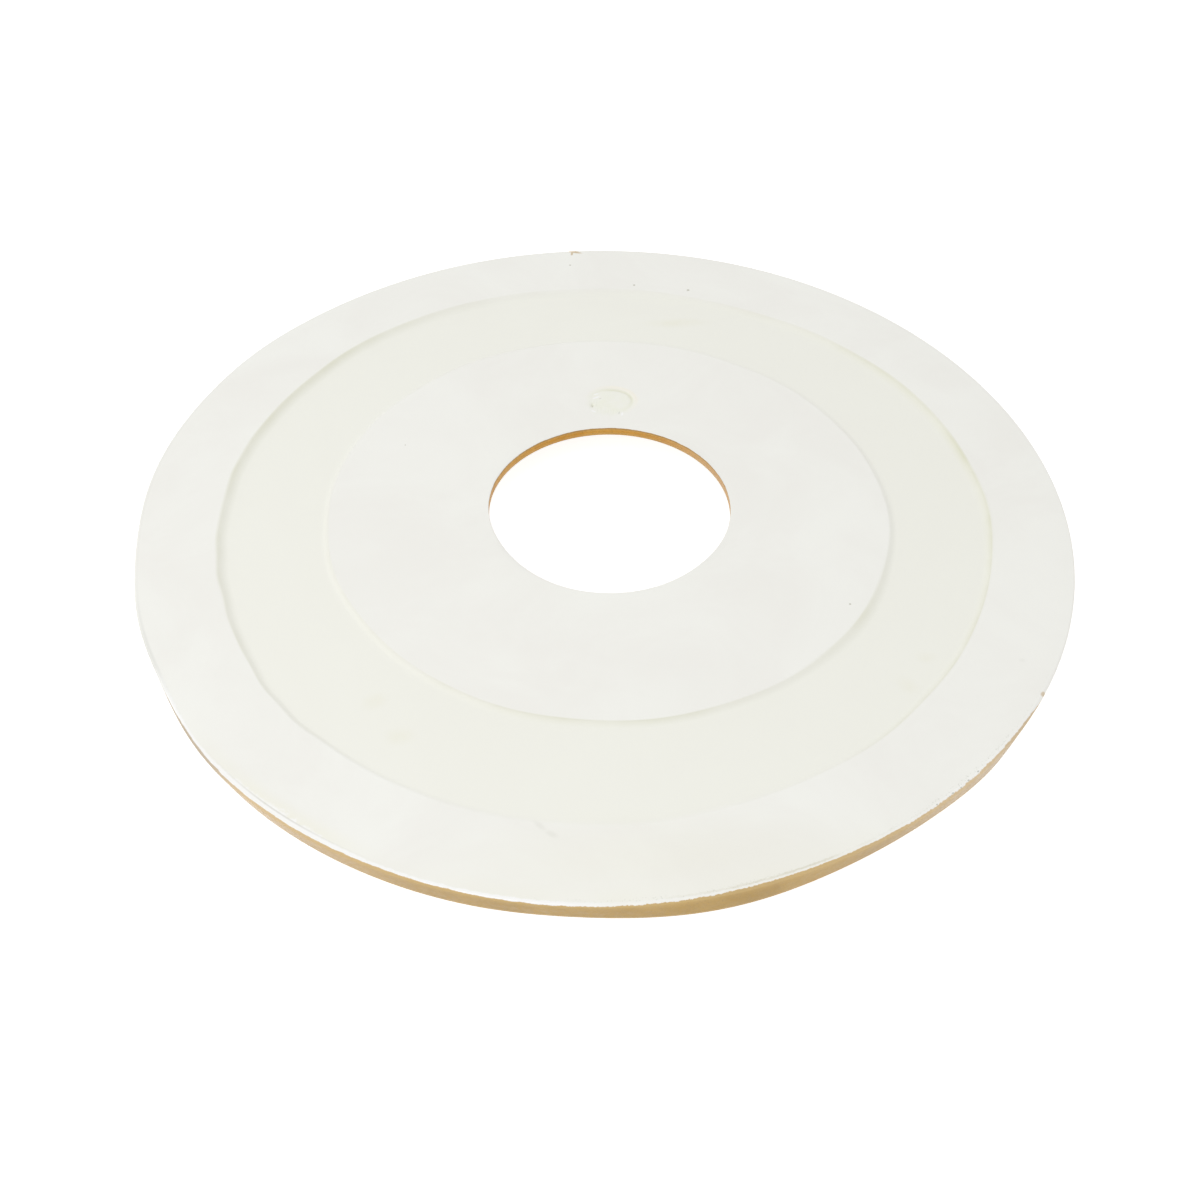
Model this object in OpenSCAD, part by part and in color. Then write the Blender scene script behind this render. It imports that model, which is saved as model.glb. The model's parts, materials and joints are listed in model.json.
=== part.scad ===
// Ceiling rose: a round moulding cast in one piece of rigid foam, with a hole in the middle
// for the lamp's wires. Its flat back goes against the ceiling, and its moulded face hangs down.
// The origin is the centre of the hole in the plane of the back. +Z points up, into the ceiling.

/* [Outline] */
// Outer diameter across the rim
outer_d = 406; // [335:1:500]
// Diameter of the hole for the wires and the ceiling box
hole_d = 107; // [60:0.5:130]
// Height of the wall of the hole
hole_wall_h = 4.4; // [3:0.1:6.5]

/* [Back] */
// Width of the outer land, from the rim to the middle of its step
outer_land_w = 35.7; // [15:0.1:60]
// Width of the inner land, from the hole to the middle of its step
inner_land_w = 69.4; // [45:0.1:90]
// Depth of the ring-shaped recess between the two lands
recess_depth = 2; // [0.5:0.1:4]
// Width of the soft ramp at each step
ramp_w = 3.2; // [1:0.1:8]

/* [Rim] */
// Height of the rim, from the back down to its lower edge
rim_h = 14; // [9:0.5:15]
// How far the rim draws in on its way down
rim_draft = 3.6; // [1:0.1:6]
// Radius of the soft corner between the back and the rim
lip_r = 1.2; // [0.4:0.1:3]
// Width of the flat under the rim, before the cove
rim_flat_w = 5; // [2:0.1:9]

/* [Outer ring] */
// Depth of the lowest point of the face, the crown of the outer ring
face_h = 25; // [23:0.5:40]
// Distance from the rim to the middle of the outer ring
ring_inset = 46; // [40:0.5:60]
// Radius of the half-round bead on the outer ring
ring_bead_r = 8; // [4:0.1:9]
// Radius of the cove between the rim and the outer ring
cove_r = 30; // [20:0.5:80]

/* [Inner ring] */
// Width of the flat seat for the lamp's canopy, round the hole
seat_w = 22; // [8:0.5:30]
// Radius of the half-round bead on the inner ring
seat_bead_r = 4.5; // [3:0.1:8]

/* [Field] */
// Depth of the field where it leaves the inner ring
field_h = 5.5; // [4.5:0.1:12]
// Radius of the low cushion of the field
cushion_r = 140; // [60:5:600]
// Width of the flat fillet on each side of a bead
fillet_w = 3; // [1:0.1:5]
// Height of that fillet above the surface beside it
fillet_h = 1.5; // [0.5:0.1:3]

/* [Hidden] */
$fn = 180;
bead_fn = 64;
lip_steps = 5;
arc_steps = 14;

rim_r = outer_d / 2;
hole_r = hole_d / 2;
outer_step_r = rim_r - outer_land_w;
inner_step_r = hole_r + inner_land_w;

// The rim leans in, so its soft corner turns through less than a right angle
rim_lean = atan(rim_draft / rim_h);
lip_centre = [rim_r - lip_r, -lip_r];
rim_foot = [rim_r - rim_draft, -rim_h];

// Outer ring: a bead on a flat platform, which stands fillet_h proud of the field
ring_r = rim_r - ring_inset;
ring_half_w = ring_bead_r + fillet_w;
ring_level = -(face_h - ring_bead_r);

// Inner ring: the same on a smaller scale, round the canopy's seat
seat_r = hole_r + seat_w;
seat_ring_r = seat_r + fillet_w + seat_bead_r;
seat_half_w = seat_bead_r + fillet_w;
seat_level = -(field_h + fillet_h);

// Ends of the two curved stretches of the face, the cushion of the field and the cove
field_in = [seat_ring_r + seat_half_w, -field_h];
field_out = [ring_r - ring_half_w, ring_level + fillet_h];
cove_in = [ring_r + ring_half_w, ring_level - fillet_h];
cove_out = [rim_foot[0] - rim_flat_w, -rim_h];

// A round stretch of an outline, from angle a0 to a1
function arc(centre, r, a0, a1, steps) =
    [for (i = [0:steps]) let (a = a0 + (a1 - a0) * i / steps) centre + r * [cos(a), sin(a)]];

// Direction of point p as seen from the centre c
function bearing(c, p) = atan2(p[1] - c[1], p[0] - c[0]);

// The arc of radius r from p out to q. With side 1 it bows up into the casting, as a cove does,
// and with side -1 down out of it; its centre lies square off the middle of the chord
function bow(p, q, r, side) =
    let (chord = q - p, half = norm(chord) / 2)
    let (down = [chord[1], -chord[0]] / norm(chord))
    let (c = (p + q) / 2 + side * down * sqrt(max(r * r - half * half, 0)))
    arc(c, norm(p - c), bearing(c, p), bearing(c, q), arc_steps);

// Half section of the casting without its beads: down the hole's wall, out along the face,
// up the rim, and back in over the lands and the recess
module casting_section() {
    polygon(concat(
        [[hole_r, 0], [hole_r, -hole_wall_h]],
        [[seat_r, -hole_wall_h], [seat_r, seat_level], [field_in[0], seat_level]],
        bow(field_in, field_out, cushion_r, -1),
        [[field_out[0], ring_level], [cove_in[0], ring_level]],
        bow(cove_in, cove_out, cove_r, 1),
        [rim_foot],
        arc(lip_centre, lip_r, -rim_lean, 90, lip_steps),
        [[outer_step_r + ramp_w / 2, 0], [outer_step_r - ramp_w / 2, -recess_depth]],
        [[inner_step_r + ramp_w / 2, -recess_depth], [inner_step_r - ramp_w / 2, 0]]
    ));
}

// Round of a half-round bead, centred on the level of its ring's platform
module bead_section(r, level, bead_r) {
    translate([r, level]) circle(r = bead_r, $fn = bead_fn);
}

// The whole rose, turned from its half section
module ceiling_rose() {
    color([0.94, 0.94, 0.90])
    rotate_extrude() {
        casting_section();
        bead_section(ring_r, ring_level, ring_bead_r);
        bead_section(seat_ring_r, seat_level, seat_bead_r);
    }
}

ceiling_rose();
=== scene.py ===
import json
import math

import bpy
import numpy as np
from mathutils import Matrix, Vector


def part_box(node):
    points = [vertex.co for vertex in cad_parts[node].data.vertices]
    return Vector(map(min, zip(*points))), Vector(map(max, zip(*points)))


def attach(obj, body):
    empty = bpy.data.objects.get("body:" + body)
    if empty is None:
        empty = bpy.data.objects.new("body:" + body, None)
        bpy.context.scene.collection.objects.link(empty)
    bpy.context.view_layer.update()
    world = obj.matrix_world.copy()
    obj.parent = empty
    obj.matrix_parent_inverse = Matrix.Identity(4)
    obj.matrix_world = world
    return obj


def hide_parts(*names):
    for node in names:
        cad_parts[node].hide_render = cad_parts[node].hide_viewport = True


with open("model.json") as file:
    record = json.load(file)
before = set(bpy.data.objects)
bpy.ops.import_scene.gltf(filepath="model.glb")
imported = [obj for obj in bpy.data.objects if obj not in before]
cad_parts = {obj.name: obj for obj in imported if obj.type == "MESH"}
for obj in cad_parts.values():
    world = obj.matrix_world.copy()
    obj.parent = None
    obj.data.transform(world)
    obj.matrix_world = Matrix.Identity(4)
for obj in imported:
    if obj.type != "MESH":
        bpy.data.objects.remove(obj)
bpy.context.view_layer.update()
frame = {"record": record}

# ------------------------------------------------------------------------------------------
# Studio. The rose lies face down on a white table, its flat back up, as it comes out of its
# mould. A broad soft light stands on the left, a little behind, a small one in front, and
# white card all round.
# ------------------------------------------------------------------------------------------
rose_low, rose_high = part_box("ceiling_rose")
rim_r = rose_high[0]
table_level = rose_low[2]

camera_place = Vector((0.2505, -2.2793, 2.1116)) * rim_r
camera_pitch = math.radians(46.29)
camera_roll = 0.0737
camera_lens = 42.68
camera_sensor = 36
camera_shift = -0.0983
camera_near = 0.01

table_half = 6.0
table_white = 0.78
table_glow = 0.86
card_white = 0.79


def put(tree, kind, settings=None, inputs=None):
    """Adds one node. An input is a plain value, or another node's output, which is linked."""
    made = tree.nodes.new(kind)
    for name, value in (settings or {}).items():
        setattr(made, name, value)
    for name, value in (inputs or {}).items():
        if isinstance(value, bpy.types.NodeSocket):
            tree.links.new(value, made.inputs[name])
        else:
            made.inputs[name].default_value = value
    return made


def seen_directly(tree):
    """1 for a ray from the camera, or through or off something shiny, and 0 for plain light."""
    path = put(tree, "ShaderNodeLightPath")
    shiny = put(tree, "ShaderNodeMath", {"operation": "MAXIMUM"},
                {0: path.outputs["Is Glossy Ray"], 1: path.outputs["Is Transmission Ray"]})
    either = put(tree, "ShaderNodeMath", {"operation": "MAXIMUM"},
                 {0: path.outputs["Is Camera Ray"], 1: shiny.outputs[0]})
    return either.outputs[0]


def look_from(place, pitch, roll):
    """The frame of a camera that faces +Y, tips down by pitch and then rolls about its own
    line of sight: its columns are the camera's right, its up and its backward direction."""
    right = Vector((1, 0, 0))
    ahead = Vector((0, math.cos(pitch), -math.sin(pitch)))
    up = right.cross(ahead)
    rolled_right = right * math.cos(roll) + up * math.sin(roll)
    rolled_up = up * math.cos(roll) - right * math.sin(roll)
    turned = Matrix((rolled_right, rolled_up, -ahead)).transposed().to_4x4()
    return Matrix.Translation(place) @ turned


scene = bpy.context.scene
scene.view_settings.view_transform = "Standard"

camera = bpy.data.objects.new("camera", bpy.data.cameras.new("camera"))
camera.data.sensor_width = camera_sensor
camera.data.lens = camera_lens
camera.data.shift_x = camera_shift
camera.data.clip_start = camera_near
camera.matrix_world = look_from(camera_place, camera_pitch, camera_roll)
scene.collection.objects.link(camera)
scene.camera = camera

world = bpy.data.worlds.new("white_card")
world.use_nodes = True
scene.world = world
sky = world.node_tree
sky.nodes.clear()
card_level = put(sky, "ShaderNodeMath", {"operation": "MULTIPLY_ADD"},
                 {0: seen_directly(sky), 1: 1.0 - card_white, 2: card_white})
sky_shade = put(sky, "ShaderNodeBackground", None,
                {"Color": (1, 1, 1, 1), "Strength": card_level.outputs[0]})
put(sky, "ShaderNodeOutputWorld", None, {"Surface": sky_shade.outputs[0]})

table_mesh = bpy.data.meshes.new("table")
table_mesh.from_pydata([(x * table_half, y * table_half, table_level)
                        for x, y in ((-1, -1), (1, -1), (1, 1), (-1, 1))], [], [(0, 1, 2, 3)])
table = bpy.data.objects.new("table", table_mesh)
scene.collection.objects.link(table)
table_look = bpy.data.materials.new("white_table")
table_look.use_nodes = True
shade = table_look.node_tree
shade.nodes.clear()
matt = put(shade, "ShaderNodeBsdfDiffuse", None, {"Color": (table_white,) * 3 + (1,)})
glow_level = put(shade, "ShaderNodeMath", {"operation": "MULTIPLY"},
                 {0: seen_directly(shade), 1: table_glow})
glow = put(shade, "ShaderNodeEmission", None, {"Strength": glow_level.outputs[0]})
matt_and_glow = put(shade, "ShaderNodeAddShader", None, {0: matt.outputs[0], 1: glow.outputs[0]})
put(shade, "ShaderNodeOutputMaterial", None, {"Surface": matt_and_glow.outputs[0]})
table_mesh.materials.append(table_look)


def soft_light(name, bearing, height, distance, width, power):
    """A square panel that faces the rose from that bearing round from +X and that height above
    the table, both in degrees. Its distance and width are in metres and its power in watts."""
    panel = bpy.data.lights.new(name, "AREA")
    panel.size = width
    panel.energy = power
    lamp = bpy.data.objects.new(name, panel)
    bearing, height = math.radians(bearing), math.radians(height)
    away = Vector((math.cos(bearing) * math.cos(height), math.sin(bearing) * math.cos(height),
                   math.sin(height)))
    lamp.location = away * distance
    lamp.rotation_euler = away.to_track_quat("Z", "Y").to_euler()
    scene.collection.objects.link(lamp)


soft_light("key", bearing=160, height=38, distance=3.0, width=1.4, power=11.0)
soft_light("fill", bearing=246, height=40, distance=1.0, width=0.5, power=1.3)

# ------------------------------------------------------------------------------------------
# Ceiling rose. One casting of rigid urethane foam, poured into an open mould through its back,
# struck off flat and trimmed by hand. Its face, its rim and the wall of its hole are painted
# gold; the back stays bare, and goes against the ceiling with adhesive.
# ------------------------------------------------------------------------------------------
MM = 0.001

hole_mount = next(m for m in frame["record"]["mounts"] if m["name"] == "wire_hole")
hole_r = hole_mount["dims"]["r_mm"] * MM
hole_wall_h = hole_mount["dims"]["length_mm"] * MM
face_h = -rose_low[2]

outer_step_r = 167.3 * MM
inner_step_r = 122.9 * MM
recess_depth = 2.0 * MM

rim_h = 14.0 * MM
rim_draft = 3.6 * MM
rim_flat_w = 5.0 * MM
lip_r = 1.2 * MM

ring_r = rim_r - 46.0 * MM
ring_bead_r = 8.0 * MM
ring_half_w = 11.0 * MM
ring_level = -face_h + ring_bead_r
cove_r = 30.0 * MM

seat_r = hole_r + 22.0 * MM
seat_bead_r = 4.5 * MM
seat_half_w = 7.5 * MM
seat_ring_r = seat_r + seat_half_w
seat_level = -7.0 * MM
fillet_h = 1.5 * MM
cushion_r = 140.0 * MM

edge_soft = 0.32 * MM


def arc(centre, radius, start, end, count):
    """Points of a circle round the centre, at even angles from start to end, in degrees."""
    angle = np.radians(np.linspace(start, end, count))
    return np.stack([centre[0] + radius * np.cos(angle), centre[1] + radius * np.sin(angle)], 1)


def bow(p, q, radius, side, count=24):
    """The arc of that radius from p out to q. Side 1 bows up into the casting and -1 out of it:
    the centre lies off the middle of the chord, square to it, by the rest of the radius."""
    p, q = np.array(p), np.array(q)
    chord = q - p
    half = np.hypot(*chord) / 2
    square = np.array([chord[1], -chord[0]]) / (2 * half)
    centre = (p + q) / 2 + side * square * math.sqrt(radius**2 - half**2)
    start, end = (math.degrees(math.atan2(*(point - centre)[::-1])) for point in (p, q))
    return arc(centre, radius, start, end, count)


def half_section():
    """The closed outline of the rose's half section, from the hole's upper edge down its wall,
    out along the face, up the rim and back in over the flat of the back."""
    field_in = (seat_ring_r + seat_half_w, seat_level + fillet_h)
    field_out = (ring_r - ring_half_w, ring_level + fillet_h)
    cove_in = (ring_r + ring_half_w, ring_level - fillet_h)
    cove_out = (rim_r - rim_draft - rim_flat_w, -rim_h)
    lean = math.degrees(math.atan(rim_draft / rim_h))
    return np.concatenate([
        [(hole_r, 0), (hole_r, -hole_wall_h), (seat_r, -hole_wall_h), (seat_r, seat_level)],
        arc((seat_ring_r, seat_level), seat_bead_r, 180, 360, count=24),
        [(field_in[0], seat_level)],
        bow(field_in, field_out, cushion_r, -1),
        [(field_out[0], ring_level)],
        arc((ring_r, ring_level), ring_bead_r, 180, 360, count=32),
        [(cove_in[0], ring_level)],
        bow(cove_in, cove_out, cove_r, 1),
        [(rim_r - rim_draft, -rim_h)],
        arc((rim_r - lip_r, -lip_r), lip_r, -lean, 90, count=8),
        [(hole_r, 0)],
    ])


def along(points, step):
    """The outline again, at even steps of its length, which is returned beside it."""
    length = np.append(0, np.cumsum(np.hypot(*np.diff(points, axis=0).T)))
    keep = np.append(True, np.diff(length) > 0)
    even = np.arange(0, length[-1], step)
    return np.stack([np.interp(even, length[keep], points[keep, i]) for i in (0, 1)], 1), even


def rounded(points, reach):
    """The closed outline with its corners softened: each point is the mean of its neighbours,
    weighted by a bell curve of that reach, in steps of the outline."""
    count = len(points)
    away = np.minimum(np.arange(count), count - np.arange(count))
    weight = np.exp(-0.5 * (away / reach) ** 2)
    blur = np.fft.rfft(weight / weight.sum())
    return np.stack([np.fft.irfft(np.fft.rfft(points[:, i]) * blur, count) for i in (0, 1)], 1)


def spread(density, places, count):
    """Places round a closed path, picked so that equal shares of the density lie between them."""
    share = np.append(0, np.cumsum((density[1:] + density[:-1]) / 2 * np.diff(places)))
    wanted = np.linspace(0, share[-1], count, endpoint=False)
    return np.interp(wanted, share, places)


def ease(x):
    """0 below 0, 1 above 1, and between them the smooth S of 3x squared less 2x cubed."""
    x = np.clip(x, 0, 1)
    return x * x * (3 - 2 * x)


def bell(offset, reach):
    """1 where the offset is 0, falling off on both sides as a bell curve of that reach."""
    return np.exp(-((offset / reach) ** 2))


def cosine(theta, bearing):
    """The cosine of the angle off that bearing, in degrees."""
    return np.cos(theta - math.radians(bearing))


def hump(theta, bearing, width):
    """1 at that bearing, falling off as a bell curve of that width, both in degrees."""
    return bell(np.degrees(np.angle(np.exp(1j * (theta - math.radians(bearing))))), width)


def swell(theta, *humps):
    """The sum of a few humps round the rose, each given by its height in millimetres and by
    its bearing and width in degrees."""
    return sum(h * MM * hump(theta, bearing, width) for h, bearing, width in humps)


def swing(theta, *waves):
    """The sum of a few cosine waves round the rose, each given by its number of turns, its
    height in millimetres and the bearing of its crest times its turns, in degrees."""
    return sum(h * MM * np.cos(n * theta - math.radians(crest)) for n, h, crest in waves)


# Pour mark: the plug of foam in the filling hole
pour_x, pour_y, pour_r = -7.2 * MM, 73.2 * MM, 10.5 * MM
pour_bearing = math.degrees(math.atan2(pour_y, pour_x))
pour_from_axis = math.hypot(pour_x, pour_y)

# Rows: places along the outline, close together where it turns, at the two steps of the back
# and across the pour mark. Each density is a number of rows to the metre.
fine_step = 0.1 * MM
row_count = 208
rows_on_flat = 0.17 / MM
rows_per_turn = 3.1
rows_on_pour = 1.9 / MM
rows_on_step = 1.4 / MM
step_reach = 4 * MM

outline, outline_s = along(half_section(), fine_step)
lip_start = int(np.argmax(outline[:, 0]))
on_back = (np.arange(len(outline)) > lip_start) & (outline[:, 1] > -0.5 * fine_step)
outline = rounded(outline, edge_soft / fine_step)
outline_r = outline[:, 0]
slope = np.unwrap(np.arctan2(*np.gradient(outline, axis=0).T[::-1]))
turning = np.gradient(slope, outline_s)
row_density = (rows_on_flat + rows_per_turn * np.abs(turning)
               + on_back * (np.abs(outline_r - pour_from_axis) < 1.2 * pour_r) * rows_on_pour
               + on_back * (np.abs(outline_r - outer_step_r) < step_reach) * rows_on_step
               + on_back * (np.abs(outline_r - inner_step_r) < step_reach) * rows_on_step)
row_s = spread(row_density, outline_s, row_count)
row_r, row_z = (np.interp(row_s, outline_s, outline[:, i])[:, None] for i in (0, 1))
row_turning = np.interp(row_s, outline_s, turning)[:, None]
row_back = np.interp(row_s, outline_s, on_back.astype(float)) > 0.5

# Columns: bearings round the rose, close together over the pour mark and the ragged part of
# the rim. Each density is beside that of the rest.
column_count = 470
columns_on_pour = 3.6
columns_on_rag = 1.1
fine_theta = np.linspace(0, 2 * np.pi, 7200)
column_density = (1 + columns_on_pour * (hump(fine_theta, pour_bearing, 10) > 0.42)
                  + columns_on_rag * hump(fine_theta, 298, 42))
column_theta = spread(column_density, fine_theta, column_count)

s, theta = np.meshgrid(row_s, column_theta, indexing="ij")
r, z = (np.broadcast_to(v, s.shape).copy() for v in (row_r, row_z))
back = np.broadcast_to(row_back[:, None], s.shape)

# The steps of the back wander a little, because the core of the mould was cut by hand, and
# the grid wanders with them. Each ramp starts at its foot in the recess, inside the step.
wander_reach = 12 * MM
foot_of_outer_ramp = 0.82
foot_of_inner_ramp = 0.75
ramp_bend = 2.1
outer_wander = (swing(theta, (1, 1.0, -95), (2, 0.5, -40), (3, 1.6, 49), (8, 0.3, 20),
                      (13, 0.22, 75), (21, 0.12, 130))
                + swell(theta, (-0.9, 145, 18))
                + swing(theta, (34, 0.2, 0), (47, 0.16, 90)) * hump(theta, 210, 40))
inner_wander = (swing(theta, (1, 0.7, -16), (2, 1.5, -43), (3, 0.3, -30), (9, 0.2, 60),
                      (14, 0.16, 10))
                + swell(theta, (0.9, 264, 20)))
outer_ramp = (4.1 * MM + 1.2 * MM * cosine(theta, 125)
              + swell(theta, (-2.0, 240, 25), (0.7, 22, 26)))
inner_ramp = 2.9 * MM + 0.3 * MM * cosine(theta, 335) + swell(theta, (1.9, 331, 14))
past_outer, past_inner = r - outer_step_r, r - inner_step_r
r = r + back * (outer_wander * bell(past_outer, wander_reach)
                + inner_wander * bell(past_inner, wander_reach))
up_outer_open = past_outer / outer_ramp + foot_of_outer_ramp
up_inner_open = foot_of_inner_ramp - past_inner / inner_ramp
up_outer, up_inner = np.clip(up_outer_open, 0, 1), np.clip(up_inner_open, 0, 1)
in_recess = back * (1 - up_outer**ramp_bend - up_inner**ramp_bend)

# The recess is shallower at the front and the far side, by these shares of its depth
across = np.clip((r - inner_step_r) / (outer_step_r - inner_step_r), 0, 1)
shallow_outer = 0.16 + 0.7 * hump(theta, 270, 46)
shallow_inner = 0.36 + 0.4 * hump(theta, 66, 42)
shallow = shallow_outer * across + shallow_inner * (1 - across)
z = z - recess_depth * (1 - shallow) * in_recess

# The rim was trimmed by eye: it is flat by a few millimetres on one side, full on the other,
# and nicked where the knife came off the ragged skin
trim_from, trim_w = 172 * MM, 22 * MM
lip_reach = 1.6 * MM
nick_in, nick_down = 0.6, 0.5
outward = ease((row_r - trim_from) / trim_w)
rim_error = 0.4 * MM + swell(theta, (2.0, 352, 34), (-3.1, 196, 14), (-3.0, 216, 10),
                             (-0.6, 300, 14), (0.8, 153, 10), (0.5, 78, 28))
foot_error = swell(theta, (-0.5, 272, 8), (1.5, 289, 11), (1.4, 324, 8), (-1.1, 352, 11))
r = r + outward * np.clip(-z / rim_h, 0, 1) * foot_error
near_lip = bell(np.hypot(row_r - rim_r, row_z), lip_reach)
ragged = np.maximum(hump(theta, 318, 13), 0.7 * hump(theta, 285, 16))
nick = np.maximum(0, swing(theta, (61, 0.3, 0), (83, 0.3, 50), (107, 0.3, 140)))
r = r + outward * rim_error - near_lip * ragged * nick * nick_in
z = z - near_lip * ragged * nick * nick_down

# The hole was opened up by hand too, and is a little flat on the left
hole_reach = 9 * MM
r = r + swell(theta, (-1.3, 217, 30), (-0.5, 322, 20)) * bell(row_r - hole_r, hole_reach)

# The back is struck off by hand, so it is never quite flat. Two waves wind round it, with so
# many radians to the metre outwards.
strike_h, long_wave, short_wave = 0.1 * MM, 31, 74
waves = (np.cos(long_wave * r + 2 * theta) * np.cos(3 * theta + 1)
         + np.cos(short_wave * r - 5 * theta)) / 2
z = z - back * strike_h * (1 + waves)
x, y = r * np.cos(theta), r * np.sin(theta)

# The plug was cut off a little below the skin. The blade left a groove and a raised lip on the
# far side, where it came in, and a torn edge with a chip where it went out. The lip is not raised
# in the mesh: it is painted lighter as a highlight, and the groove and the chip are painted darker
# with their shade. The torn skin is two sets of ripples that cross, each bent by a slower wave.
sunk_h, groove_h, torn_h, chip_h = 0.14 * MM, 0.42 * MM, 0.22 * MM, 0.9 * MM
clean_edge, torn_edge = 1.2 * MM, 4.5 * MM
whole_r, torn_fade = 4.5 * MM, 3.0 * MM
groove_at, groove_w = 1.0 * MM, 0.85 * MM
pour_lip_at, pour_lip_w = 0.9 * MM, 0.9 * MM
chip_x, chip_y, chip_half_w, chip_half_l = -15.6 * MM, 69.4 * MM, 0.72 * MM, 1.35 * MM
from_pour = np.hypot(x - pour_x, y - pour_y)
round_pour = np.arctan2(y - pour_y, x - pour_x)
torn_r = (pour_r + swing(round_pour, (2, 0.4, 20), (3, 0.3, 80))
          + swing(round_pour, (9, 0.4, 10), (17, 0.35, 60)) * hump(round_pour, 225, 80))
past_pour = from_pour - torn_r
clean_part = np.clip(1.35 * hump(round_pour, 58, 62), 0, 1)
plug_edge = torn_edge + (clean_edge - torn_edge) * clean_part
on_plug = back * ease(0.5 - past_pour / plug_edge)
groove = back * clean_part * bell(past_pour + groove_at, groove_w)
pour_lip = back * clean_part * bell(past_pour - pour_lip_at, pour_lip_w)
tear_x, tear_y = (x - pour_x) / MM, (y - pour_y) / MM
tear = (np.cos(3.1 * tear_x + 1.2 * tear_y + 2 * np.cos(1.1 * tear_y))
        * np.cos(2.3 * tear_y - 1.1 * tear_x + 2 * np.cos(0.9 * tear_x + 1)))
torn = np.clip(hump(round_pour, 200, 62) + 0.7 * hump(round_pour, 285, 26), 0, 1) * on_plug
torn = torn * ease((from_pour - whole_r) / torn_fade) * (0.5 + 0.5 * tear)
z = z - sunk_h * on_plug * (0.25 + 0.75 * clean_part) - groove_h * groove - torn_h * torn
chip = back * bell(np.hypot((x - chip_x) / chip_half_w, (y - chip_y) / chip_half_l), 1)
z = z - chip_h * chip
z = np.where(back, np.minimum(z, 0.0), z)

# Edge of the paint, in millimetres from the lip of the rim and from the arris of the hole. It
# keeps to the lip along the front and was wiped off it round the rest.
paint_starts, paint_ends, paint_fades_in, paint_fades_out = 210, 336, 16, 8
bare_at_hole = 0.15
lip_s = outline_s[on_back][0]
outline_length = outline_s[-1] + fine_step
from_lip = (s - lip_s) / MM
from_hole = np.minimum(s, outline_length - s) / MM
bearing = np.degrees(theta)
gold_front = (ease((bearing - paint_starts) / paint_fades_in)
              * ease((paint_ends - bearing) / paint_fades_out))
bare_edge = (0.1 + 0.15 * hump(theta, 243, 18) + 0.8 * hump(theta, 271, 13) + 0.2 * ragged
             + 2.0 * (1 - gold_front))
past_rim_line = -from_lip - bare_edge
past_hole_line = np.where(back, -from_hole, from_hole) - bare_at_hole
past_paint = np.where(back, np.maximum(past_rim_line, past_hole_line),
                      np.minimum(past_rim_line, past_hole_line))

# Shares from 0 to 1 round the rose of what the knife, the brush and the mould left on it, and
# of where shade, sheen and light are painted on it
cut_bearing, cut_half_turn, cut_soft = 245, 28, 0.1
past_cut_end = cosine(theta, cut_bearing) - math.cos(math.radians(cut_half_turn))
cut_part = ease(past_cut_end / cut_soft + 0.5)
cut_width = 1 + 3.0 * hump(theta, 240, 7.5)
# Painted shade and reflection: the gold of the rim's wall is greyed at its left end and at the
# front right, where the wall is seen edge on
grey_starts, grey_ends, grey_fades_in, grey_fades_out = 206, 237, 8, 9
edge_on_part = (ease((bearing - grey_starts) / grey_fades_in)
             * ease((grey_ends - bearing) / grey_fades_out))
# Paler gold, partly thin paint and partly painted light: a painted sheen just under the paint line,
# where the rim is seen at a grazing angle, a paler left end of the rim where the key light falls,
# and the side of the hole's wall that faces the key light
sheen_below, sheen_fades = 2.6, 1.6
sheen_under_line = ease((from_lip + sheen_below) / sheen_fades)
rim_thin_paint_and_sheen = (0.7 * hump(theta, 224, 20) + 0.42 * hump(theta, 322, 14)
               + (0.3 + 0.2 * hump(theta, 316, 20)) * sheen_under_line)
hole_lit_side = 0.35 * hump(theta, 35, 30)
rim_wall, rim_wall_fades = math.hypot(rim_h, rim_draft) / MM, 3.0
on_rim = ease((rim_wall + rim_wall_fades - np.abs(from_lip)) / rim_wall_fades)
near_hole = ease((hole_r + 1.5 * MM - r) / (1.0 * MM))
# Painted shade, in part: the ramps are tinted darker and yellower, most where a ramp faces away
# from the key light; the rest of the tint is the skin's own colour
outer_ramp_shade = (0.48 + 0.3 * np.cos(2 * theta - math.radians(14)) + 0.2 * np.cos(theta)
              + 0.45 * hump(theta, 150, 26) + 0.2 * hump(theta, 18, 24))
outer_ramp_shade = outer_ramp_shade * (1 - 0.8 * hump(theta, 275, 34))
inner_ramp_shade = (0.12 + 0.6 * hump(theta, 278, 32) + 0.35 * hump(theta, 215, 32)
              + 0.5 * hump(theta, 334, 14))
tint_bend, tint_end, tint_fades = 1.5, 1.2, 0.2
outer_fade = ease((tint_end - up_outer_open) / tint_fades)
inner_fade = ease((tint_end - up_inner_open) / tint_fades)
ramp_shade = back * (up_outer**tint_bend * outer_fade * outer_ramp_shade
                  + up_inner**tint_bend * inner_fade * inner_ramp_shade)

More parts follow.
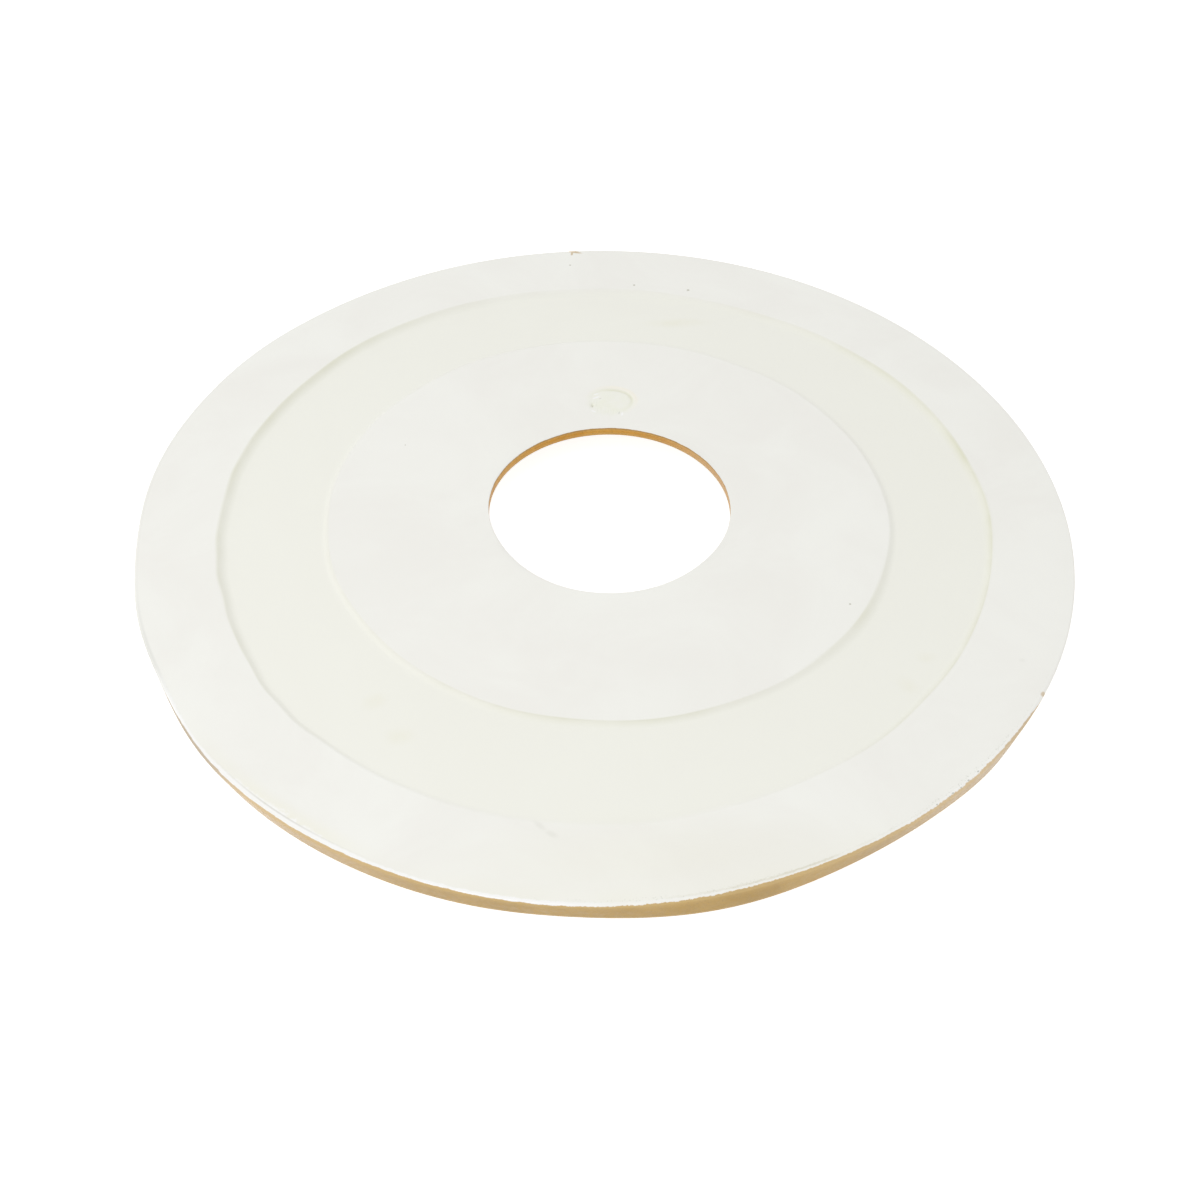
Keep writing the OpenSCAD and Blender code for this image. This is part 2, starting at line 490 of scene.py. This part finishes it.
# What the finishes need to know of each point. Distances are in millimetres; the turn is how
# the section bends there, above 0 at a bead and below 0 in a corner.
facts = {
    "past_paint": past_paint,
    "from_lip": from_lip,
    "from_cut": from_lip / cut_width,
    "crease": hump(theta, 240, 7),
    "edge_on_shade": (edge_on_part + 0.4 * hump(theta, 331, 8)) * on_rim,
    "cut_edge_and_highlight": 0.75 * cut_part + 0.35 * ragged,
    "edge_stain": 0.8 * hump(theta, 240, 11) + 0.3 * hump(theta, 278, 26),
    "lip_shade": 0.12 * hump(theta, 185, 26) + 0.4 * hump(theta, 212, 8),
    "drag_edge": ragged,
    "drag_line": hump(theta, 295, 11),
    "thin_paint_and_sheen": rim_thin_paint_and_sheen * on_rim + hole_lit_side * near_hole,
    "in_hole": (~back) * near_hole,
    "recess": in_recess,
    "ramp": ramp_shade,
    "pour_mark": on_plug,
    "groove": groove + 0.9 * chip,
    "pour_lip": pour_lip,
    "turn": np.broadcast_to(np.clip(row_turning * MM, -1, 1), s.shape),
}

index = np.arange(row_count * column_count).reshape(row_count, column_count)
next_row, next_column = np.roll(index, -1, 0), np.roll(index, -1, 1)
corner = np.roll(next_row, -1, 1)
quads = np.stack([index, next_column, corner, next_row], -1).reshape(-1, 4)
painted = (~row_back) & (np.roll(~row_back, -1))

rose_mesh = bpy.data.meshes.new("ceiling_rose_skin")
rose_mesh.vertices.add(index.size)
rose_mesh.vertices.foreach_set("co", np.stack([x, y, z], -1).ravel())
rose_mesh.loops.add(quads.size)
rose_mesh.loops.foreach_set("vertex_index", quads.ravel())
rose_mesh.polygons.add(len(quads))
rose_mesh.polygons.foreach_set("loop_start", np.arange(len(quads)) * 4)
rose_mesh.polygons.foreach_set("use_smooth", np.ones(len(quads), bool))
rose_mesh.polygons.foreach_set("material_index",
                               np.repeat(painted, column_count).astype(np.int32))
rose_mesh.update(calc_edges=True)
rose_mesh.validate()
for fact, values in facts.items():
    layer = rose_mesh.attributes.new(fact, "FLOAT", "POINT")
    layer.data.foreach_set("value", np.ascontiguousarray(values, dtype=np.float32).ravel())
rose = bpy.data.objects.new("ceiling_rose_skin", rose_mesh)
scene.collection.objects.link(rose)


def screen(red, green, blue):
    """A screen colour, 0 to 255 a channel, as the linear colour that a shader takes."""
    c = np.array([red, green, blue]) / 255
    return (*np.where(c <= 0.04045, c / 12.92, ((c + 0.055) / 1.055) ** 2.4).tolist(), 1.0)


def new_group(name, ins, outs):
    """An empty node group with those named sockets, and its input and output nodes."""
    group = bpy.data.node_groups.new(name, "ShaderNodeTree")
    for label, kind, value in ins:
        socket = group.interface.new_socket(label, in_out="INPUT", socket_type=kind)
        socket.default_value = value
    for label, kind in outs:
        group.interface.new_socket(label, in_out="OUTPUT", socket_type=kind)
    return group, group.nodes.new("NodeGroupInput").outputs, group.nodes.new("NodeGroupOutput")


def maths(tree, operation, a, b=0.0, c=0.0):
    """One step of arithmetic, given back as its output."""
    return put(tree, "ShaderNodeMath", {"operation": operation}, {0: a, 1: b, 2: c}).outputs[0]


def both(tree, *masks):
    """The product of two masks or more, where each may also be a plain number."""
    product = masks[0]
    for mask in masks[1:]:
        product = maths(tree, "MULTIPLY", product, mask)
    return product


def between(tree, value, low, high, to_low=0.0, to_high=1.0):
    """The value carried from low..high to to_low..to_high along a smooth S, and held there."""
    return put(tree, "ShaderNodeMapRange", {"interpolation_type": "SMOOTHSTEP"},
               {"Value": value, "From Min": low, "From Max": high,
                "To Min": to_low, "To Max": to_high}).outputs["Result"]


def band(tree, value, start, full, fades, end):
    """0 up to the start, 1 where the value is from full to where it fades, and 0 past the end."""
    return both(tree, between(tree, value, start, full), between(tree, value, end, fades))


def blended(tree, share, first, second):
    """The first colour where share is 0, and the second where it is 1."""
    mix = put(tree, "ShaderNodeMix", {"data_type": "RGBA"}, {0: share, 6: first, 7: second})
    return mix.outputs[2]


def tinted(tree, colour, tint, *masks):
    """The colour, carried towards the tint by the product of the masks."""
    return blended(tree, both(tree, *masks), colour, tint)


def noise(tree, per_metre, detail=2.0, roughness=0.5, distortion=0.0):
    """Cloudy values from 0 to 1 on the rose's own coordinates, with so many clouds per metre."""
    own_place = put(tree, "ShaderNodeTexCoord").outputs["Object"]
    return put(tree, "ShaderNodeTexNoise", None,
               {"Vector": own_place, "Scale": per_metre, "Detail": detail,
                "Roughness": roughness, "Distortion": distortion}).outputs["Fac"]


def fact_of(tree, name):
    """One of the values that the mesh holds at each point."""
    return put(tree, "ShaderNodeAttribute", {"attribute_name": name}).outputs["Fac"]


# Mark: an oval patch with a soft edge, for a stain, a pinhole or a scratch. Its mask is 1
# within the oval and falls to 0 over the softness, a share of the oval's size.
mark_group, mark_in, mark_out = new_group(
    "mark",
    [("Place", "NodeSocketVector", (0, 0, 0)), ("Turn", "NodeSocketVector", (0, 0, 0)),
     ("Size", "NodeSocketVector", (0.01, 0.01, 0.01)), ("Softness", "NodeSocketFloat", 0.5)],
    [("Mask", "NodeSocketFloat")])
unit_place = put(mark_group, "ShaderNodeMapping", {"vector_type": "TEXTURE"},
                 {"Vector": put(mark_group, "ShaderNodeTexCoord").outputs["Object"],
                  "Location": mark_in["Place"], "Rotation": mark_in["Turn"],
                  "Scale": mark_in["Size"]}).outputs[0]
from_middle = put(mark_group, "ShaderNodeVectorMath", {"operation": "LENGTH"},
                  {0: unit_place}).outputs["Value"]
mark_edge = maths(mark_group, "SUBTRACT", 1.0, mark_in["Softness"])
mark_group.links.new(between(mark_group, from_middle, 1.0, mark_edge), mark_out.inputs["Mask"])
mark_depth = 3.0 * MM


def marks(tree, softness, *ovals):
    """The greatest of a few marks on the back. Each is given by its place, half length and half
    width in millimetres, and the turn of its length from +X in degrees."""
    mask = None
    for x_mm, y_mm, half_l, half_w, turn in ovals:
        one = put(tree, "ShaderNodeGroup", {"node_tree": mark_group}, {
            "Place": (x_mm * MM, y_mm * MM, 0), "Turn": (0, 0, math.radians(turn)),
            "Size": (half_l * MM, half_w * MM, mark_depth), "Softness": softness}).outputs["Mask"]
        mask = one if mask is None else maths(tree, "MAXIMUM", mask, one)
    return mask


# Bare foam: a dense ivory skin, faintly clouded, a shade yellower where it is thicker in the
# recess, darker and yellower at the ramps, partly its own tint and partly painted shade, with a few
# stains, pinholes from air in the mould, painted dark with the shade inside them, and scratches
finish_sockets = [("Color", "NodeSocketColor"), ("Roughness", "NodeSocketFloat"),
                  ("Height", "NodeSocketFloat")]
foam_group, _, foam_out = new_group("bare_foam", [], finish_sockets)
ivory, pale_ivory = screen(243, 242, 236), screen(246, 246, 240)
recess_tint, ramp_shade_tint = screen(243, 243, 233), screen(225, 225, 203)
plug_tint, groove_shade = screen(242, 243, 228), screen(230, 230, 208)
plug_lip_highlight = screen(249, 243, 226)
stain_tint, pinhole_shade = screen(233, 230, 203), screen(168, 165, 142)
scratch_tint = screen(212, 211, 201)
sliver_highlight, gap_shade = screen(253, 253, 254), screen(200, 201, 192)

cloud = noise(foam_group, 16, detail=4, roughness=0.6, distortion=0.8)
speckle = noise(foam_group, 140, detail=3, roughness=0.6)
grain = noise(foam_group, 1100)
foam_colour = blended(foam_group, between(foam_group, cloud, 0.3, 0.72), ivory, pale_ivory)
foam_colour = tinted(foam_group, foam_colour, recess_tint, fact_of(foam_group, "recess"), 0.75)
# The ramps: partly the skin's own tint, partly painted shade
foam_colour = tinted(foam_group, foam_colour, ramp_shade_tint, fact_of(foam_group, "ramp"),
                     between(foam_group, noise(foam_group, 45), 0.25, 0.75, 0.55, 1.0))
foam_colour = tinted(foam_group, foam_colour, plug_tint, fact_of(foam_group, "pour_mark"),
                     between(foam_group, speckle, 0.3, 0.7, 0.3, 0.8))
# Painted shade in the groove and the chip, and a painted highlight on the lip beside the groove
foam_colour = tinted(foam_group, foam_colour, groove_shade, fact_of(foam_group, "groove"), 0.8)
foam_colour = tinted(foam_group, foam_colour, plug_lip_highlight, fact_of(foam_group, "pour_lip"), 0.6)

stains = marks(foam_group, 0.9, (-78, -119, 8, 6, 35), (-65, -135, 8, 6, 10),
               (129, -91, 8, 6, -40), (137, -75, 7, 5, 0), (20, 142, 24, 6, 10))
foam_colour = tinted(foam_group, foam_colour, stain_tint, stains,
                     between(foam_group, speckle, 0.2, 0.8, 0.12, 0.36))
front_stain = marks(foam_group, 0.95, (42, -181, 120, 26, 8))
foam_colour = tinted(foam_group, foam_colour, stain_tint, front_stain, 0.15)
pinholes = marks(foam_group, 0.5, (-5.3, 171.0, 0.8, 0.8, 0), (23.2, 170.1, 1.0, 1.0, 0),
                 (106.1, -49.6, 0.6, 0.6, 0), (-97.0, 30.5, 0.4, 0.4, 0),
                 (-40.8, 185.1, 0.7, 0.7, 0))
# Painted shade: the pinholes are darkened as the shade inside them
foam_colour = tinted(foam_group, foam_colour, pinhole_shade, pinholes, 0.6)
scratches = marks(foam_group, 0.9, (-7.0, -171.2, 4.4, 1.7, -38), (-2.4, -174.4, 3.8, 1.8, -24))
faint_dent = both(foam_group, marks(foam_group, 0.9, (176.0, -74.0, 2.0, 1.6, 0)), 0.5)
scratches = maths(foam_group, "MAXIMUM", scratches, faint_dent)
foam_colour = tinted(foam_group, foam_colour, scratch_tint, scratches, 0.24)

# The torn side of the pour mark has lifted slivers, painted whiter as highlights, and a few gaps
# painted dark as shade
lit_slivers = marks(foam_group, 0.6, (-14.6, 75.1, 2.5, 0.75, 38), (-14.9, 77.8, 1.8, 0.6, 33),
                (-14.4, 64.6, 1.9, 0.6, -27), (-0.9, 64.1, 0.7, 1.8, 0))
foam_colour = tinted(foam_group, foam_colour, sliver_highlight, lit_slivers, 0.75)
shaded_gaps = marks(foam_group, 0.7, (-15.5, 69.2, 0.6, 1.5, 20), (-2.4, 64.9, 0.5, 1.6, 0),
             (-12.5, 74.6, 0.9, 0.5, 38))
foam_colour = tinted(foam_group, foam_colour, gap_shade, shaded_gaps, 0.5)

# On the lip at the left, where the paint was wiped off it, the foam is painted grey as shade. Along
# the rim the knife left a thin white cut, partly whiter foam and partly a painted highlight, with a
# crease behind it painted as a grey line of shade, stained foam inside it and, where it tore, a
# broken line of drag and dark crumbs. Distances from the lip are in millimetres.
lip_shade_tint, edge_stain_tint = screen(212, 212, 206), screen(242, 240, 220)
drag_tint, cut_white_and_highlight = screen(208, 203, 176), screen(253, 253, 253)
crease_shade, crumb_tint = screen(204, 203, 194), screen(160, 163, 145)
fray_w = 1.6

lip_at = fact_of(foam_group, "from_lip")
fray = maths(foam_group, "SUBTRACT", noise(foam_group, 420, detail=3, roughness=0.65), 0.5)
frayed_lip = maths(foam_group, "MULTIPLY_ADD", fray, fray_w, lip_at)
frayed_cut = maths(foam_group, "MULTIPLY_ADD", fray, fray_w, fact_of(foam_group, "from_cut"))
# Painted shade on the lip at the left
foam_colour = tinted(foam_group, foam_colour, lip_shade_tint, fact_of(foam_group, "lip_shade"),
                     between(foam_group, lip_at, 1.4, 0.2))
foam_colour = tinted(foam_group, foam_colour, edge_stain_tint, fact_of(foam_group, "edge_stain"),
                     between(foam_group, lip_at, 8.5, 1.5),
                     between(foam_group, noise(foam_group, 30), 0.35, 0.66, 0.25, 0.7))
foam_colour = tinted(foam_group, foam_colour, drag_tint, fact_of(foam_group, "drag_line"),
                     band(foam_group, frayed_lip, 0.2, 0.7, 1.0, 1.7),
                     between(foam_group, noise(foam_group, 70), 0.4, 0.58), 0.5)
# Partly whiter cut foam and partly a painted highlight where the lip catches the key light
foam_colour = tinted(foam_group, foam_colour, cut_white_and_highlight, fact_of(foam_group, "cut_edge_and_highlight"),
                     between(foam_group, frayed_cut, 1.0, 0.4))
# Painted shade: a grey line for the crease behind the cut, which the mesh does not have
foam_colour = tinted(foam_group, foam_colour, crease_shade, fact_of(foam_group, "crease"),
                     band(foam_group, lip_at, 1.1, 1.5, 1.7, 2.1), 0.5)
crumb_dust = both(foam_group, fact_of(foam_group, "drag_edge"),
                  band(foam_group, lip_at, 0.3, 0.8, 1.4, 2.6),
                  between(foam_group, noise(foam_group, 1400, roughness=0.6), 0.58, 0.66), 0.6)
crumbs = marks(foam_group, 0.6, *(
    (x_mm, y_mm, half_l, 0.7 * half_l, 45) for x_mm, y_mm, half_l in (
        (137.3, -148.9, 0.6), (142.4, -144.8, 0.6), (143.6, -143.3, 0.8),
        (146.8, -140.4, 0.6), (149.9, -136.6, 0.7), (153.8, -132.2, 0.7))))
foam_colour = tinted(foam_group, foam_colour, crumb_tint,
                     maths(foam_group, "MAXIMUM", crumbs, crumb_dust), 0.6)

grain_h, speckle_h, scratch_h = 0.10, 0.35, 0.15
hollows = maths(foam_group, "MULTIPLY_ADD", scratches, scratch_h, pinholes)
foam_height = maths(foam_group, "SUBTRACT", both(foam_group, speckle, speckle_h), hollows)
foam_height = maths(foam_group, "MULTIPLY_ADD", grain, grain_h, foam_height)
foam_group.links.new(foam_colour, foam_out.inputs["Color"])
foam_group.links.new(between(foam_group, speckle, 0.25, 0.75, 0.42, 0.56),
                     foam_out.inputs["Roughness"])
foam_group.links.new(foam_height, foam_out.inputs["Height"])

# Gold paint: brushed on by hand over the foam, warm and a little uneven, with painted shade
# darkening the corners of the mouldings and a painted highlight lightening the beads
gold_group, _, gold_out = new_group("gold_paint", [], finish_sockets)
dull_gold, bright_gold = screen(174, 138, 56), screen(188, 152, 73)
lit_hole_gold, bright_lit_hole_gold = screen(216, 152, 50), screen(228, 170, 72)
grain_tint, fleck_tint = screen(146, 112, 48), screen(206, 170, 98)
pale_gold_and_sheen, edge_on_shade_tint = screen(228, 208, 182), screen(182, 176, 172)
worn_tint, corner_shade = screen(150, 100, 36), screen(124, 88, 38)
bead_highlight = screen(222, 192, 128)
fleck_h = 0.3

gold_cloud = noise(gold_group, 38, detail=3, roughness=0.6, distortion=1.0)
gold_fleck = noise(gold_group, 520, detail=3, roughness=0.65)
gold_grain = noise(gold_group, 1500, roughness=0.6)
in_hole = fact_of(gold_group, "in_hole")
turn_of = fact_of(gold_group, "turn")
gold_colour = blended(gold_group, between(gold_group, gold_cloud, 0.32, 0.7),
                      dull_gold, bright_gold)
# Painted light: the wall of the hole is a brighter, more orange gold, for the light from the table
# through the hole and from the wall across it
lit_hole_colour = blended(gold_group, between(gold_group, gold_cloud, 0.3, 0.7),
                      lit_hole_gold, bright_lit_hole_gold)
gold_colour = blended(gold_group, in_hole, gold_colour, lit_hole_colour)
gold_colour = tinted(gold_group, gold_colour, grain_tint,
                     between(gold_group, gold_grain, 0.5, 0.72, 0.0, 0.45))
gold_colour = tinted(gold_group, gold_colour, fleck_tint,
                     between(gold_group, gold_fleck, 0.45, 0.8, 0.0, 0.35))
# Paler gold: partly thin paint, partly painted sheen and light
gold_colour = tinted(gold_group, gold_colour, pale_gold_and_sheen, fact_of(gold_group, "thin_paint_and_sheen"))
# Painted shade and reflection greying the gold where the rim's wall is seen edge on
gold_colour = tinted(gold_group, gold_colour, edge_on_shade_tint, fact_of(gold_group, "edge_on_shade"))
gold_colour = tinted(gold_group, gold_colour, worn_tint, in_hole,
                     between(gold_group, fact_of(gold_group, "past_paint"), 1.1, 0.3, 0.0, 0.7))
# Painted shade in the corners and painted highlight on the beads, by how the section bends
gold_colour = tinted(gold_group, gold_colour, corner_shade,
                     between(gold_group, turn_of, -0.02, -0.6, 0.0, 0.75))
gold_colour = tinted(gold_group, gold_colour, bead_highlight,
                     between(gold_group, turn_of, 0.05, 0.7, 0.0, 0.32))
gold_group.links.new(gold_colour, gold_out.inputs["Color"])
gold_group.links.new(between(gold_group, gold_fleck, 0.3, 0.75, 0.36, 0.52),
                     gold_out.inputs["Roughness"])
gold_group.links.new(both(gold_group, gold_fleck, fleck_h), gold_out.inputs["Height"])

# Edge of the paint: a ragged line, torn in fine saw teeth where the rim was trimmed, with a
# few flecks of paint past it on the back. The mask is 0 on bare foam and 1 under the paint.
line_group, _, line_out = new_group("paint_line", [], [("Mask", "NodeSocketFloat")])
tooth_w, torn_tooth_w, tear_w, fleck_cover = 0.35, 1.3, 0.9, 0.75
tooth = maths(line_group, "SUBTRACT", noise(line_group, 900, roughness=0.6), 0.5)
tear_line = maths(line_group, "SUBTRACT", noise(line_group, 130, roughness=0.6), 0.5)
tooth_size = maths(line_group, "MULTIPLY_ADD", fact_of(line_group, "drag_edge"), torn_tooth_w,
                   tooth_w)
line_at = maths(line_group, "MULTIPLY_ADD", tooth, tooth_size, fact_of(line_group, "past_paint"))
line_at = maths(line_group, "MULTIPLY_ADD", tear_line, tear_w, line_at)
flecks = maths(line_group, "MAXIMUM",
               marks(line_group, 0.6, (-41.5, 198.4, 7.0, 1.6, -12),
                     (182.8, -91.2, 1.3, 1.8, -27)),
               marks(line_group, 0.7, (-41.2, 196.2, 0.9, 2.4, 0)))
line_mask = maths(line_group, "MAXIMUM", between(line_group, line_at, -0.15, 0.2),
                  both(line_group, flecks, fleck_cover))
line_group.links.new(line_mask, line_out.inputs["Mask"])

foam_ior = 1.46
paint_thickness = 0.25


def finish_of(name, metal, gloss, bump_h):
    """A finish of the casting: bare foam up to the edge of the paint, and gold past it. Its
    heights are shares of bump_h. Only the painted side has the metal flake, a plain value."""
    look = bpy.data.materials.new(name)
    look.use_nodes = True
    tree = look.node_tree
    tree.nodes.clear()
    foam = put(tree, "ShaderNodeGroup", {"node_tree": foam_group}).outputs
    gold = put(tree, "ShaderNodeGroup", {"node_tree": gold_group}).outputs
    mask = put(tree, "ShaderNodeGroup", {"node_tree": line_group}).outputs["Mask"]
    rough = put(tree, "ShaderNodeMix", {"data_type": "FLOAT"},
                {0: mask, 2: foam["Roughness"], 3: gold["Roughness"]}).outputs[0]
    height = put(tree, "ShaderNodeMix", {"data_type": "FLOAT"},
                 {0: mask, 2: foam["Height"], 3: gold["Height"]}).outputs[0]
    height = maths(tree, "MULTIPLY_ADD", mask, paint_thickness, height)
    bump = put(tree, "ShaderNodeBump", None,
               {"Strength": 1.0, "Distance": bump_h, "Height": height})
    shader = put(tree, "ShaderNodeBsdfPrincipled", None, {
        "Base Color": blended(tree, mask, foam["Color"], gold["Color"]),
        "Roughness": rough, "Metallic": metal, "IOR": foam_ior,
        "Specular IOR Level": gloss, "Normal": bump.outputs["Normal"]})
    put(tree, "ShaderNodeOutputMaterial", None, {"Surface": shader.outputs[0]})
    return look


rose_mesh.materials.append(finish_of("bare_foam_back", metal=0.0, gloss=0.5, bump_h=0.05 * MM))
rose_mesh.materials.append(finish_of("gold_painted_face", metal=0.15, gloss=0.32, bump_h=0.06 * MM))
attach(rose, "root")
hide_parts("ceiling_rose")
